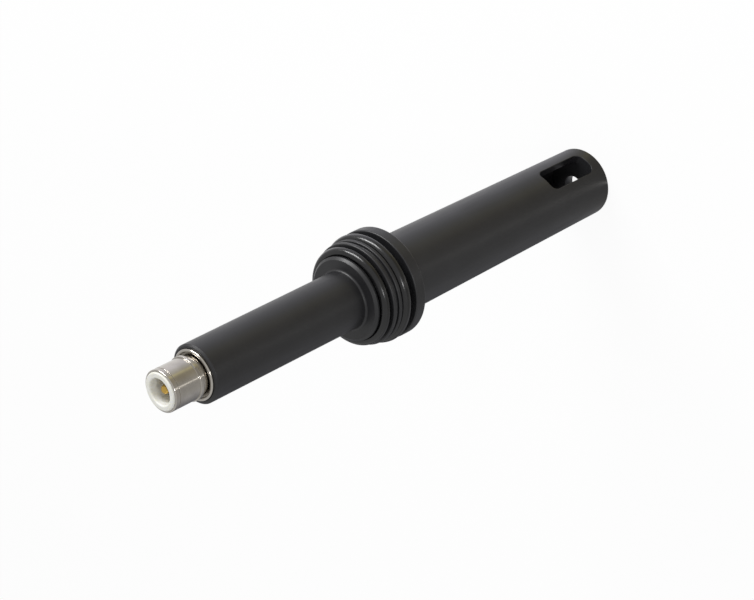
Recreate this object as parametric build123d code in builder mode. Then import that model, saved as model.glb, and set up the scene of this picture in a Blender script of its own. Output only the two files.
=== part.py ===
from build123d import *
import os

# Conductivity probe: a moulded stem with a coaxial plug socket at its top, a ring
# cluster that seals it into a holder, and a slotted cell tube that holds two electrodes.
# Millimetres. +Z points from the sensing tip up to the socket, and Z = 0 is the flat tip.

os.makedirs("parts", exist_ok=True)

# Clearances
slide_gap = 0.05        # radial gap of parts that push into each other
thread_gap = 0.05       # radial gap of parts that screw or press into each other
seal_gap = 0.02         # gap between a rubber ring and the walls it sits against
wire_gap = 0.03         # gap round wires, pins and shrink sleeves

# Cell tube with its flange
tube_length = 65.2
tube_tip_radius = 7.71
tube_draft = 0.39
tube_tip_edge = 0.40
tube_wall = 1.41
seat_step = 0.50
floor_thickness = 3.0
drain_hole_radius = 2.2
drain_hole_chamfer = 0.3
flange_height = 3.42
flange_thickness = 2.75
flange_upper_edge = 0.30
flange_lower_edge = 0.50
flange_fillet = 1.2

# Flow slots
slot_length = 14.2
slot_width = 5.5
slot_corner_radius = 1.6
slot_edge = 0.20
slot_headroom = 2.8

# Coaxial socket
barrel_radius = 4.25
barrel_height = 6.0
barrel_edge = 0.25
shell_wall = 0.37
base_collar_overhang = 0.25
base_collar_height = 0.7
base_collar_edge = 0.12
key_notch_width = 1.5
key_notch_height = 0.45
key_notch_depth = 0.35
key_notch_angle = -113.0
neck_undercut = 0.10
neck_height = 1.15
lip_overhang = 0.95
lip_height = 1.61
lip_round = 0.34
lip_stand_out = 0.45
lip_groove_depth = 1.3
tail_wall = 1.07
tail_length = 8.5
washer_thickness = 0.5
insulator_wall = 1.18
insulator_seat_depth = 13.0
insulator_rear_step = 0.55
insulator_rear_overhang = 1.4
insulator_stand_out = 0.3
insulator_edge = 0.3
hollow_depth = 6.0
centre_pin_radius = 0.9
centre_pin_recess = 0.8
centre_pin_tail = 2.8
lug_thickness = 0.4
lug_tab_width = 1.3
lug_tab_length = 3.2

# Stem and ring glands, named from the tube upwards
rear_gland_height = 3.1
rear_gland_space = 1.01
ridge_width = 2.4
ridge_height = 1.65
ridge_upper_drop = 0.1
ridge_groove_width = 0.5
ridge_groove_depth = 0.65
ridge_round = 0.3
front_gland_height = 2.2
front_gland_space = 0.08
collar_width = 1.0
collar_height = 0.6
collar_chamfer = 0.5
stem_length = 39.88
stem_draft = 0.10
stem_rim_wall = 0.75
stem_root_fillet = 0.5
stem_top_edge = 0.35
lug_seat_step = 0.25
spigot_to_compound = 1.5
spigot_tip_chamfer = 0.5

# Rubber rings
rear_ring_section = 1.15
front_ring_section = 1.0
spigot_ring_section = 0.6
spigot_ring_depth = 3.8
holder_ring_section = 0.75

# Electrodes, their holder and the sealing compound
holder_length = 18.0
holder_nose_length = 1.6
holder_nose_gap = 0.08
holder_nose_chamfer = 0.4
holder_groove_rise = 4.0
holder_groove_pitch = 7.0
electrode_radius = 1.2
electrode_offset = 2.6
electrode_reach = 5.6
electrode_tip_round = 0.8
electrode_stand_up = 3.0
compound_height = 10.5

# Leads and shrink sleeves
lead_radius = 0.65
core_radius = 0.35
core_length = 2.0
sleeve_wall = 0.3
sleeve_relief = 0.4
sleeve_neck = 2.0
sleeve_on_lead = 2.5
lead_rise = 12.0
lead_bend_radius = 30.0

# Radii worked out from the sizes above
tube_root_radius = tube_tip_radius + tube_draft
tube_bore_radius = tube_tip_radius - tube_wall
chamber_radius = tube_bore_radius - seat_step
flange_radius = tube_root_radius + flange_height
insulator_radius = barrel_radius - shell_wall - wire_gap
insulator_rear_radius = insulator_radius - insulator_rear_step
socket_hollow_radius = insulator_radius - insulator_wall
neck_radius = barrel_radius - neck_undercut
base_collar_radius = barrel_radius + base_collar_overhang
lip_radius = barrel_radius + lip_overhang
lip_crest_radius = lip_radius - lip_round
lip_inner_radius = lip_crest_radius - lip_round
socket_tail_radius = insulator_rear_radius + wire_gap + tail_wall
seat_radius = lip_radius + slide_gap
stem_top_radius = seat_radius + stem_rim_wall
stem_root_radius = stem_top_radius + stem_draft
stem_bore_radius = socket_tail_radius + thread_gap - lug_seat_step
front_gland_radius = stem_root_radius + front_gland_height
rear_gland_radius = stem_root_radius + rear_gland_height
ridge_lower_radius = rear_gland_radius + ridge_height
ridge_upper_radius = ridge_lower_radius - ridge_upper_drop
collar_radius = front_gland_radius + collar_height

# Heights worked out from the sizes above
chamber_top_z = floor_thickness + slot_length + slot_headroom
flange_top_z = tube_length + flange_thickness
rear_ring_z = flange_top_z + rear_gland_space + seal_gap + rear_ring_section
ridge_low_z = rear_ring_z + rear_ring_section + seal_gap
ridge_high_z = ridge_low_z + ridge_width
front_ring_z = ridge_high_z + front_gland_space / 2 + seal_gap + front_ring_section
collar_low_z = front_ring_z + front_ring_section + seal_gap + front_gland_space / 2
collar_high_z = collar_low_z + collar_width
stem_top_z = collar_high_z + stem_length
holder_top_z = chamber_top_z + holder_length
compound_top_z = holder_top_z + compound_height
spigot_low_z = compound_top_z + spigot_to_compound
holder_nose_z = chamber_top_z - holder_nose_length
lip_top_z = stem_top_z + lip_stand_out
lip_low_z = lip_top_z - lip_round - lip_height
lip_groove_z = lip_top_z - lip_groove_depth
seat_floor_z = lip_low_z - washer_thickness
neck_top_z = lip_top_z + neck_height
base_collar_top_z = neck_top_z + base_collar_height
rim_z = base_collar_top_z + barrel_height
insulator_top_z = rim_z + insulator_stand_out
insulator_seat_z = insulator_top_z - insulator_seat_depth
tail_low_z = seat_floor_z - tail_length
lug_low_z = tail_low_z - lug_thickness
insulator_low_z = lug_low_z - insulator_rear_overhang
centre_pin_low_z = insulator_low_z - centre_pin_tail
electrode_low_z = holder_nose_z - electrode_reach
electrode_top_z = holder_top_z + electrode_stand_up
lug_seat_z = lug_low_z - thread_gap


def rubber_ring(floor_radius, section_radius, height):
    """A round section ring that sits on a gland floor."""
    centre_radius = floor_radius + seal_gap + section_radius
    with BuildPart() as ring:
        with BuildSketch(Plane.XZ):
            with Locations((centre_radius, height)):
                Circle(section_radius)
        revolve(axis=Axis.Z)
    return ring


def shrink_sleeve(x, joint_z, end_radius, bare_length, direction):
    """A shrink sleeve over a terminal and the lead that leaves it.

    joint_z is the terminal's end, bare_length is how far the terminal stands out of
    its seat, and direction is +1 where the lead leaves upwards.
    """
    wide = end_radius + wire_gap
    narrow = lead_radius + wire_gap
    low = joint_z - direction * (bare_length - sleeve_relief)
    neck_low = joint_z + direction * 0.25 * sleeve_neck
    neck_high = joint_z + direction * sleeve_neck
    high = neck_high + direction * sleeve_on_lead
    with BuildPart() as sleeve:
        with BuildSketch(Plane.XZ):
            with BuildLine():
                Polyline(
                    (wide, low),
                    (wide, neck_low),
                    (narrow, neck_high),
                    (narrow, high),
                    (narrow + sleeve_wall, high),
                    (narrow + sleeve_wall, neck_high),
                    (wide + sleeve_wall, neck_low),
                    (wide + sleeve_wall, low),
                    close=True,
                )
            make_face()
        revolve(axis=Axis.Z)
    sleeve.part.position = (x, 0, 0)
    return sleeve


# Cell tube: drafted tube, flange, closed floor with a drain hole and two opposite slots
with BuildPart() as cell_tube:
    with BuildSketch(Plane.XZ):
        with BuildLine():
            Polyline(
                (drain_hole_radius, 0),
                (tube_tip_radius, 0),
                (tube_root_radius, tube_length),
                (flange_radius, tube_length),
                (flange_radius, flange_top_z),
                (tube_bore_radius, flange_top_z),
                (tube_bore_radius, chamber_top_z),
                (chamber_radius, chamber_top_z),
                (chamber_radius, floor_thickness),
                (drain_hole_radius, floor_thickness),
                close=True,
            )
        make_face()
    revolve(axis=Axis.Z)
    rings = cell_tube.edges().filter_by(GeomType.CIRCLE)
    fillet(rings.filter_by(lambda e: e.radius == tube_root_radius), flange_fillet)
    fillet(rings.filter_by(lambda e: e.radius == tube_tip_radius), tube_tip_edge)
    flange_rims = rings.filter_by(lambda e: e.radius == flange_radius).sort_by(Axis.Z)
    fillet(flange_rims[0], flange_lower_edge)
    fillet(flange_rims[-1], flange_upper_edge)
    drain_edge = rings.filter_by(lambda e: e.radius == drain_hole_radius).sort_by(Axis.Z)[0]
    chamfer(drain_edge, drain_hole_chamfer)
    slot_centre_z = floor_thickness + slot_length / 2
    with BuildSketch(Plane.XZ):
        with Locations((0, slot_centre_z)):
            RectangleRounded(slot_width, slot_length, slot_corner_radius)
    edges_before_slots = cell_tube.edges()
    extrude(amount=2 * tube_root_radius, both=True, mode=Mode.SUBTRACT)
    mid_wall_radius = (chamber_radius + tube_tip_radius) / 2
    outer_slot_edges = (cell_tube.edges() - edges_before_slots).filter_by(
        lambda e: all(Vector(v.X, v.Y, 0).length > mid_wall_radius for v in e.vertices())
    )
    fillet(outer_slot_edges, slot_edge)
cell_tube.part.label = "cell_tube"

# Stem: collar, two ring glands with the grooved ridge between them, and the spigot
with BuildPart() as stem:
    with BuildSketch(Plane.XZ):
        with BuildLine():
            Polyline(
                (stem_bore_radius, spigot_low_z),
                (tube_bore_radius - slide_gap, spigot_low_z),
                (tube_bore_radius - slide_gap, flange_top_z),
                (rear_gland_radius, flange_top_z),
                (rear_gland_radius, ridge_low_z),
                (ridge_lower_radius, ridge_low_z),
                (ridge_lower_radius, ridge_low_z + ridge_width / 2),
                (ridge_upper_radius, ridge_low_z + ridge_width / 2),
                (ridge_upper_radius, ridge_high_z),
                (front_gland_radius, ridge_high_z),
                (front_gland_radius, collar_low_z),
                (collar_radius, collar_low_z),
                (collar_radius, collar_high_z),
                (stem_root_radius, collar_high_z),
                (stem_top_radius, stem_top_z),
                (seat_radius, stem_top_z),
                (seat_radius, seat_floor_z),
                (socket_tail_radius + thread_gap, seat_floor_z),
                (socket_tail_radius + thread_gap, lug_seat_z),
                (stem_bore_radius, lug_seat_z),
                close=True,
            )
        make_face()
        groove_z = ridge_low_z + ridge_width / 2
        groove_r = ridge_lower_radius - ridge_groove_depth / 2
        with Locations((groove_r, groove_z)):
            Rectangle(ridge_groove_depth, ridge_groove_width, mode=Mode.SUBTRACT)
    revolve(axis=Axis.Z)
    rims = stem.edges().filter_by(GeomType.CIRCLE)
    fillet(rims.filter_by(lambda e: e.radius == stem_root_radius), stem_root_fillet)
    collar_rim = rims.filter_by(lambda e: e.radius == collar_radius).sort_by(Axis.Z)[-1]
    chamfer(collar_rim, collar_chamfer)
    crests = rims.filter_by(lambda e: e.radius in (ridge_lower_radius, ridge_upper_radius))
    fillet(crests, ridge_round)
    chamfer(rims.filter_by(lambda e: e.radius == stem_top_radius), stem_top_edge)
    spigot_rim = rims.filter_by(lambda e: e.radius == tube_bore_radius - slide_gap)
    chamfer(spigot_rim.sort_by(Axis.Z)[0], spigot_tip_chamfer)
    spigot_groove_z = flange_top_z - spigot_ring_depth
    spigot_groove_radius = tube_bore_radius - 2 * (spigot_ring_section + seal_gap)
    with BuildSketch(Plane.XZ):
        with Locations(((spigot_groove_radius + tube_bore_radius) / 2, spigot_groove_z)):
            Rectangle(
                tube_bore_radius - spigot_groove_radius,
                2 * (spigot_ring_section + seal_gap),
            )
    revolve(axis=Axis.Z, mode=Mode.SUBTRACT)
stem.part.label = "stem"

# Rubber rings of the ring cluster and of the joint between stem and tube
rear_o_ring = rubber_ring(rear_gland_radius, rear_ring_section, rear_ring_z)
rear_o_ring.part.label = "rear_o_ring"

front_o_ring = rubber_ring(front_gland_radius, front_ring_section, front_ring_z)
front_o_ring.part.label = "front_o_ring"

spigot_o_ring = rubber_ring(spigot_groove_radius, spigot_ring_section, spigot_groove_z)
spigot_o_ring.part.label = "spigot_o_ring"

# Socket shell: rounded lip in the stem's end with a groove inside it, neck, base collar,
# barrel and tail
with BuildPart() as socket_shell:
    with BuildSketch(Plane.XZ):
        with BuildLine():
            Polyline(
                (insulator_rear_radius + wire_gap, tail_low_z),
                (socket_tail_radius, tail_low_z),
                (socket_tail_radius, lip_low_z),
                (lip_radius, lip_low_z),
                (lip_radius, lip_top_z - lip_round),
            )
            RadiusArc(
                (lip_radius, lip_top_z - lip_round),
                (lip_crest_radius, lip_top_z),
                -lip_round,
            )
            RadiusArc(
                (lip_crest_radius, lip_top_z),
                (lip_inner_radius, lip_top_z - lip_round),
                -lip_round,
            )
            Polyline(
                (lip_inner_radius, lip_top_z - lip_round),
                (lip_inner_radius, lip_groove_z),
                (neck_radius, lip_groove_z),
                (neck_radius, neck_top_z),
                (base_collar_radius, neck_top_z),
                (base_collar_radius, base_collar_top_z),
                (barrel_radius, base_collar_top_z),
                (barrel_radius, rim_z),
                (insulator_radius + wire_gap, rim_z),
                (insulator_radius + wire_gap, insulator_seat_z),
                (insulator_rear_radius + wire_gap, insulator_seat_z),
                (insulator_rear_radius + wire_gap, tail_low_z),
            )
        make_face()
    revolve(axis=Axis.Z)
    turned = socket_shell.edges().filter_by(GeomType.CIRCLE)
    above_neck = turned.filter_by(lambda e: e.center().Z > neck_top_z - neck_height / 2)
    chamfer(above_neck.filter_by(lambda e: e.radius == base_collar_radius), base_collar_edge)
    barrel_rim = turned.filter_by(lambda e: e.radius == barrel_radius).sort_by(Axis.Z)[-1]
    fillet(barrel_rim, barrel_edge)
    notch_plane = Plane.XY.offset(base_collar_top_z - key_notch_height)
    with BuildSketch(notch_plane):
        with PolarLocations(base_collar_radius, 1, start_angle=key_notch_angle):
            Rectangle(2 * key_notch_depth, key_notch_width)
    extrude(amount=key_notch_height, mode=Mode.SUBTRACT)
socket_shell.part.label = "socket_shell"

# Flat washer that seals the socket's lip on its seat in the stem
with BuildPart() as socket_washer:
    with BuildSketch(Plane.XY.offset(seat_floor_z)):
        Circle(lip_radius)
        Circle(socket_tail_radius + thread_gap, mode=Mode.SUBTRACT)
    extrude(amount=washer_thickness)
socket_washer.part.label = "socket_washer"

# White insulator sleeve with the hollow that takes the plug
with BuildPart() as socket_insulator:
    with BuildSketch(Plane.XZ):
        with BuildLine():
            Polyline(
                (centre_pin_radius + wire_gap, insulator_low_z),
                (insulator_rear_radius, insulator_low_z),
                (insulator_rear_radius, insulator_seat_z),
                (insulator_radius, insulator_seat_z),
                (insulator_radius, insulator_top_z),
                (socket_hollow_radius, insulator_top_z),
                (socket_hollow_radius, insulator_top_z - hollow_depth),
                (centre_pin_radius + wire_gap, insulator_top_z - hollow_depth),
                close=True,
            )
        make_face()
    revolve(axis=Axis.Z)
    lips = socket_insulator.edges().filter_by(GeomType.CIRCLE)
    mouth = lips.filter_by(lambda e: e.center().Z == insulator_top_z)
    fillet(mouth, insulator_edge)
socket_insulator.part.label = "socket_insulator"

# Gold plated centre pin, from its round tip to the drilled solder cup
with BuildPart() as centre_pin:
    centre_pin_top_z = insulator_top_z - centre_pin_recess
    with BuildSketch(Plane.XY.offset(centre_pin_low_z)):
        Circle(centre_pin_radius)
    extrude(amount=centre_pin_top_z - centre_pin_low_z)
    fillet(centre_pin.edges().sort_by(Axis.Z)[-1], 0.8 * centre_pin_radius)
    with BuildSketch(Plane.XY.offset(centre_pin_low_z)):
        Circle(core_radius + wire_gap)
    extrude(amount=core_length, mode=Mode.SUBTRACT)
centre_pin.part.label = "centre_pin"

# Solder lug on the socket's tail, with a tab for the return lead
with BuildPart() as ground_lug:
    with BuildSketch(Plane.XY.offset(lug_low_z)):
        Circle(socket_tail_radius)
        Circle(insulator_rear_radius + wire_gap, mode=Mode.SUBTRACT)
    extrude(amount=lug_thickness)
    tab_root_x = -(insulator_rear_radius + wire_gap + lug_thickness)
    with BuildSketch(Plane.XY.offset(lug_low_z - lug_tab_length)):
        with Locations((tab_root_x, 0)):
            Rectangle(lug_thickness, lug_tab_width)
    extrude(amount=lug_tab_length)
ground_lug.part.label = "ground_lug"

# Electrode holder: stepped plug with two seal grooves and two electrode holes
holder_radius = tube_bore_radius - slide_gap
holder_groove_radius = tube_bore_radius - 2 * (holder_ring_section + seal_gap)
holder_groove_heights = [
    chamber_top_z + holder_groove_rise + index * holder_groove_pitch for index in range(2)
]
with BuildPart() as electrode_holder:
    with BuildSketch(Plane.XZ):
        with BuildLine():
            Polyline(
                (0, holder_nose_z),
                (chamber_radius - holder_nose_gap, holder_nose_z),
                (chamber_radius - holder_nose_gap, chamber_top_z),
                (holder_radius, chamber_top_z),
                (holder_radius, holder_top_z),
                (0, holder_top_z),
                close=True,
            )
        make_face()
        for height in holder_groove_heights:
            with Locations(((holder_groove_radius + tube_bore_radius) / 2, height)):
                Rectangle(
                    tube_bore_radius - holder_groove_radius,
                    2 * (holder_ring_section + seal_gap),
                    mode=Mode.SUBTRACT,
                )
    revolve(axis=Axis.Z)
    nose_rim = electrode_holder.edges().group_by(Axis.Z)[0]
    chamfer(nose_rim, holder_nose_chamfer)
    with BuildSketch(Plane.XY.offset(holder_nose_z)):
        with Locations((electrode_offset, 0), (-electrode_offset, 0)):
            Circle(electrode_radius + wire_gap)
    extrude(amount=holder_length + holder_nose_length, mode=Mode.SUBTRACT)
electrode_holder.part.label = "electrode_holder"

holder_ring_lower = rubber_ring(
    holder_groove_radius, holder_ring_section, holder_groove_heights[0]
)
holder_ring_lower.part.label = "holder_ring_lower"

holder_ring_upper = rubber_ring(
    holder_groove_radius, holder_ring_section, holder_groove_heights[1]
)
holder_ring_upper.part.label = "holder_ring_upper"


def electrode_pin(x):
    """A round electrode with a rounded tip below and a solder cup above."""
    with BuildPart() as pin:
        with BuildSketch(Plane.XY.offset(electrode_low_z)):
            with Locations((x, 0)):
                Circle(electrode_radius)
        extrude(amount=electrode_top_z - electrode_low_z)
        fillet(pin.edges().sort_by(Axis.Z)[0], electrode_tip_round)
        with BuildSketch(Plane.XY.offset(electrode_top_z - core_length)):
            with Locations((x, 0)):
                Circle(core_radius + wire_gap)
        extrude(amount=core_length, mode=Mode.SUBTRACT)
    return pin


signal_electrode = electrode_pin(electrode_offset)
signal_electrode.part.label = "signal_electrode"

return_electrode = electrode_pin(-electrode_offset)
return_electrode.part.label = "return_electrode"

# Sealing compound cast over the holder, round the electrodes' sleeves
with BuildPart() as sealing_compound:
    with BuildSketch(Plane.XY.offset(holder_top_z)):
        Circle(tube_bore_radius - slide_gap)
        with Locations((electrode_offset, 0), (-electrode_offset, 0)):
            Circle(electrode_radius + 2 * wire_gap + sleeve_wall, mode=Mode.SUBTRACT)
    extrude(amount=compound_height)
sealing_compound.part.label = "sealing_compound"


def lead(points, lower_core_z, upper_core_z):
    """An insulated lead with a bare core at each end, along vertical ends and easy bends."""
    start = points[0]
    end = points[-1]
    with BuildPart() as wire:
        with BuildLine():
            FilletPolyline(*points, radius=lead_bend_radius)
        with BuildSketch(Plane.XY.offset(start[2])):
            with Locations((start[0], start[1])):
                Circle(lead_radius)
        sweep()
        with BuildSketch(Plane.XY.offset(lower_core_z)):
            with Locations((start[0], start[1])):
                Circle(core_radius)
        extrude(amount=start[2] - lower_core_z)
        with BuildSketch(Plane.XY.offset(end[2])):
            with Locations((end[0], end[1])):
                Circle(core_radius)
        extrude(amount=upper_core_z - end[2])
    return wire


lead_start_z = electrode_top_z + wire_gap
signal_end_z = centre_pin_low_z - wire_gap
signal_points = [
    (electrode_offset, 0, lead_start_z),
    (electrode_offset, 0, lead_start_z + lead_rise),
    (0, 0, signal_end_z - lead_rise),
    (0, 0, signal_end_z),
]
signal_lead = lead(
    signal_points,
    electrode_top_z - core_length + wire_gap,
    centre_pin_low_z + core_length - wire_gap,
)
signal_lead.part.label = "signal_lead"

return_end_z = lug_low_z - lug_tab_length - wire_gap
return_end_x = tab_root_x + lug_thickness / 2 + core_radius + wire_gap
return_points = [
    (-electrode_offset, 0, lead_start_z),
    (-electrode_offset, 0, lead_start_z + lead_rise),
    (return_end_x, 0, return_end_z - lead_rise),
    (return_end_x, 0, return_end_z),
]
return_lead = lead(
    return_points,
    electrode_top_z - core_length + wire_gap,
    insulator_low_z - 2 * wire_gap,
)
return_lead.part.label = "return_lead"

# Shrink sleeves over the soldered ends
signal_sleeve_lower = shrink_sleeve(
    electrode_offset, electrode_top_z, electrode_radius, electrode_stand_up, 1
)
signal_sleeve_lower.part.label = "signal_sleeve_lower"

return_sleeve_lower = shrink_sleeve(
    -electrode_offset, electrode_top_z, electrode_radius, electrode_stand_up, 1
)
return_sleeve_lower.part.label = "return_sleeve_lower"

signal_sleeve_upper = shrink_sleeve(
    0, centre_pin_low_z, centre_pin_radius, centre_pin_tail, -1
)
signal_sleeve_upper.part.label = "signal_sleeve_upper"

pieces = [
    cell_tube,
    stem,
    rear_o_ring,
    front_o_ring,
    spigot_o_ring,
    socket_shell,
    socket_washer,
    socket_insulator,
    centre_pin,
    ground_lug,
    electrode_holder,
    holder_ring_lower,
    holder_ring_upper,
    signal_electrode,
    return_electrode,
    sealing_compound,
    signal_lead,
    return_lead,
    signal_sleeve_lower,
    return_sleeve_lower,
    signal_sleeve_upper,
]
for piece in pieces:
    export_step(piece.part, f"parts/{piece.part.label}.step")
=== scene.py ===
import math

import bpy
from mathutils import Matrix, Vector


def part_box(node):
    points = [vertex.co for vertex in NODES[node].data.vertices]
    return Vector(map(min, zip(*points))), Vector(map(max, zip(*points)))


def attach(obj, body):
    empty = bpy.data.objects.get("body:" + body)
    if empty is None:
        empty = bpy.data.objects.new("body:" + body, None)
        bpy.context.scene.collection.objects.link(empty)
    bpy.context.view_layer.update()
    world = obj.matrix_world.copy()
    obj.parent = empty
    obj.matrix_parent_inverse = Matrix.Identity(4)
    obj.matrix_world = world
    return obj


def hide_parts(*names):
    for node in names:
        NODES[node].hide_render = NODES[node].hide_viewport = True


bl_info = {
    "name": "Conductivity Probe",
    "version": (1, 0, 0),
    "blender": (4, 5, 0),
    "location": "View3D > Sidebar > Probe",
    "description": "Builds the finished surfaces of a slotted conductivity probe",
    "category": "Add Mesh",
}

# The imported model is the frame. Lengths below are in millimetres, as on a drawing, and
# MM turns them to metres. Z = 0 is the flat sensing end, and +Z runs up to the socket.
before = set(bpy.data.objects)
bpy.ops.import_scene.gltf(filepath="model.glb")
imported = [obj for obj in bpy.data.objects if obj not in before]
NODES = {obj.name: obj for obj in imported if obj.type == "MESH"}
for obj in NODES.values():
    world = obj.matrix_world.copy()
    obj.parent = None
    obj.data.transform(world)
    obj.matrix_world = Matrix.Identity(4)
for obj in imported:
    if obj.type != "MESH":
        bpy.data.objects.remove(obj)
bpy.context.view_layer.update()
MM = 0.001

# Photograph: its size in pixels, and the pinhole camera that was fitted to the silhouette
PHOTO_WIDTH = 754
PHOTO_FOCAL = 1945.4
SENSOR_WIDTH = 36.0
CAMERA_PLACE = (-131.972, -264.696, 321.698)
CAMERA_RIGHT = (-0.66071, -0.32251, -0.67783)
CAMERA_UP = (0.67301, -0.65444, -0.34463)
CAMERA_BACK = (-0.33245, -0.68388, 0.64945)

# Sockets of a Mix node that mixes colours, which share their names with others
MIX_FIRST = 6
MIX_SECOND = 7
MIX_RESULT = 2

# Fine forms, in millimetres: the rounding of an electrode's lower end, and the thin
# moulding line round a rubber ring
ELECTRODE_TIP = 0.8
MOULD_LINE_HEIGHT = 0.015
MOULD_LINE_WIDTH = 0.07


# Settings a user would change

def length(name, text, value):
    """A length in millimetres for a settings group."""
    return bpy.props.FloatProperty(name=name, description=text + ", mm", default=value, min=0.0)


def colour(name, text, hex_value):
    """A colour written as sRGB hex, kept as text so that it reads as a maker writes it."""
    return bpy.props.StringProperty(name=name, description=text, default=hex_value)


class ProbeTubeSettings(bpy.types.PropertyGroup):
    """Sizes of the slotted cell tube."""
    height: length("Tube length", "From the flat end to the flange", 65.2)
    tip_radius: length("Tip radius", "Outer radius at the flat end", 7.71)
    root_radius: length("Root radius", "Outer radius at the flange", 8.10)
    tip_edge: length("Tip edge", "Rounding of the flat end's rim", 0.40)
    bore_radius: length("Bore radius", "Inside above the chamber", 6.3)
    chamber_radius: length("Chamber radius", "Inside round the electrodes", 5.8)
    chamber_top: length("Chamber top", "Height of the holder's seat", 20.0)
    floor: length("Floor", "Thickness of the closed end", 3.0)
    drain_radius: length("Drain hole radius", "Hole in the closed end", 2.2)
    drain_chamfer: length("Drain hole chamfer", "Outer edge of that hole", 0.3)
    flange_radius: length("Flange radius", "Rim of the flange", 11.52)
    flange_thickness: length("Flange thickness", "Along the axis", 2.75)
    flange_upper_edge: length("Flange upper edge", "Rounding beside the rings", 0.30)
    flange_lower_edge: length("Flange lower edge", "Rounding beside the tube", 0.50)
    flange_fillet: length("Flange fillet", "Between tube and flange", 1.2)
    slot_width: length("Slot width", "Across the tube", 5.5)
    slot_length: length("Slot length", "Along the tube", 14.2)
    slot_corner: length("Slot corner", "Corner radius of the slot", 1.6)
    slot_edge: length("Slot edge", "Rounding of the slot's rim", 0.20)


class ProbeStemSettings(bpy.types.PropertyGroup):
    """Sizes of the stem and its ring glands."""
    gland_low: length("Rear gland floor", "Radius beside the flange", 9.2)
    gland_high: length("Front gland floor", "Radius under the collar", 8.3)
    ridge_low: length("Lower crest", "Radius of the crest nearer the tube", 10.85)
    ridge_high: length("Upper crest", "Radius of the crest nearer the stem", 10.75)
    ridge_groove: length("Ridge groove", "Width of the groove between crests", 0.5)
    ridge_groove_floor: length("Groove floor", "Radius of that groove's floor", 10.2)
    ridge_round: length("Crest rounding", "Rounding of the crests", 0.3)
    collar_radius: length("Collar radius", "Thin collar above the rings", 8.9)
    collar_chamfer: length("Collar chamfer", "Front edge of the collar", 0.5)
    root_radius: length("Stem root radius", "Stem at the collar", 6.10)
    top_radius: length("Stem top radius", "Stem at the socket", 6.0)
    top_edge: length("Stem top edge", "Chamfer of the stem's end", 0.35)
    root_fillet: length("Stem root fillet", "Between stem and collar", 0.5)
    collar_thickness: length("Collar thickness", "Along the axis", 1.0)
    rear_space: length("Rear ring space", "Between the rear ring and the ridge", 0.02)
    front_space: length("Front ring space", "Between the front ring and its walls", 0.06)
    bore: length("Stem bore", "Inside of the stem", 4.2)
    spigot_gap: length("Spigot gap", "Between spigot and tube", 0.05)
    spigot_chamfer: length("Spigot chamfer", "Lower end of the spigot", 0.5)
    spigot_ring_drop: length("Spigot ring drop", "Ring's groove below the flange", 3.8)
    spigot_ring_depth: length("Spigot groove depth", "From the tube's bore", 1.24)
    spigot_ring_half: length("Spigot groove half", "Half that groove's width", 0.62)
    seat_radius: length("Socket seat radius", "Recess in the stem's end", 5.25)
    seat_floor: length("Socket seat floor", "Height of that recess", 114.7)
    throat_radius: length("Throat radius", "Hole for the socket's tail", 4.45)
    throat_floor: length("Throat floor", "Height of the solder lug's seat", 105.75)


class ProbeSocketSettings(bpy.types.PropertyGroup):
    """Sizes of the coaxial plug socket."""
    barrel_radius: length("Barrel radius", "Outside of the shell", 4.25)
    neck_radius: length("Neck radius", "Undercut above the lip", 4.15)
    collar_radius: length("Base collar radius", "Bead at the barrel's foot", 4.5)
    collar_height: length("Base collar height", "Along the axis", 0.7)
    neck_height: length("Neck height", "From the lip's crest to the bead", 1.15)
    lip_radius: length("Lip radius", "Rounded lip in the stem's end", 5.2)
    lip_round: length("Lip rounding", "Half the lip's width", 0.34)
    lip_groove: length("Lip groove", "Depth inside the lip", 1.3)
    notch_angle: bpy.props.FloatProperty(
        name="Key notch angle", description="Round the axis from +X, degrees", default=-113.0)
    notch_width: length("Key notch width", "Across the bead", 1.5)
    notch_height: length("Key notch height", "Down the bead", 0.45)
    notch_floor: length("Key notch floor", "From the axis", 4.15)
    rim_line: length("Rim line", "Fine turned line below the rim", 1.05)
    rim_line_half: length("Rim line half", "Half that line's width", 0.09)
    rim_line_depth: length("Rim line depth", "Depth of that line", 0.12)
    barrel_length: length("Barrel length", "From the bead to the rim", 6.0)
    tail_radius: length("Tail radius", "Shell inside the stem", 4.4)
    tail_bore: length("Tail bore", "Inside of the tail", 3.33)
    shell_bore: length("Shell bore", "Inside of the barrel", 3.88)
    insulator_seat: length("Insulator seat", "Height of the step in the shell", 112.3)
    insulator_gap: length("Insulator gap", "Between insulator and shell", 0.03)
    hollow_radius: length("Hollow radius", "Inside the insulator", 2.67)
    hollow_depth: length("Hollow depth", "From the insulator's rim", 6.0)
    pin_radius: length("Pin radius", "Centre contact", 0.9)
    pin_tip: length("Pin tip", "Rounding of its tip", 0.72)
    cup_radius: length("Solder cup radius", "Hole in a contact's end", 0.38)
    cup_depth: length("Solder cup depth", "Depth of that hole", 2.0)


class ProbeFinishSettings(bpy.types.PropertyGroup):
    """Colours of the finishes, as sRGB hex."""
    plastic: colour("Body plastic", "Black moulded plastic of stem and tube", "#1b1b1d")
    rubber: colour("Ring rubber", "Black sealing ring rubber", "#0c0c0d")
    nickel: colour("Nickel plate", "Plated shell of the socket", "#c9c4bc")
    insulator: colour("Insulator", "White insulating sleeve", "#e8e8e4")
    gold: colour("Gold plate", "Centre contact", "#d8b25c")
    steel: colour("Electrode steel", "Ground stainless steel", "#b9b8b6")
    resin: colour("Casting resin", "Compound over the holder", "#16130f")
    tin: colour("Tin plate", "Solder lug", "#b5b1a6")
    signal_lead: colour("Signal lead", "Insulation of that lead", "#c9c4b4")
    return_lead: colour("Return lead", "Insulation of that lead", "#202022")
    sleeve: colour("Shrink sleeve", "Sleeves on the soldered ends", "#17171a")


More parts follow.
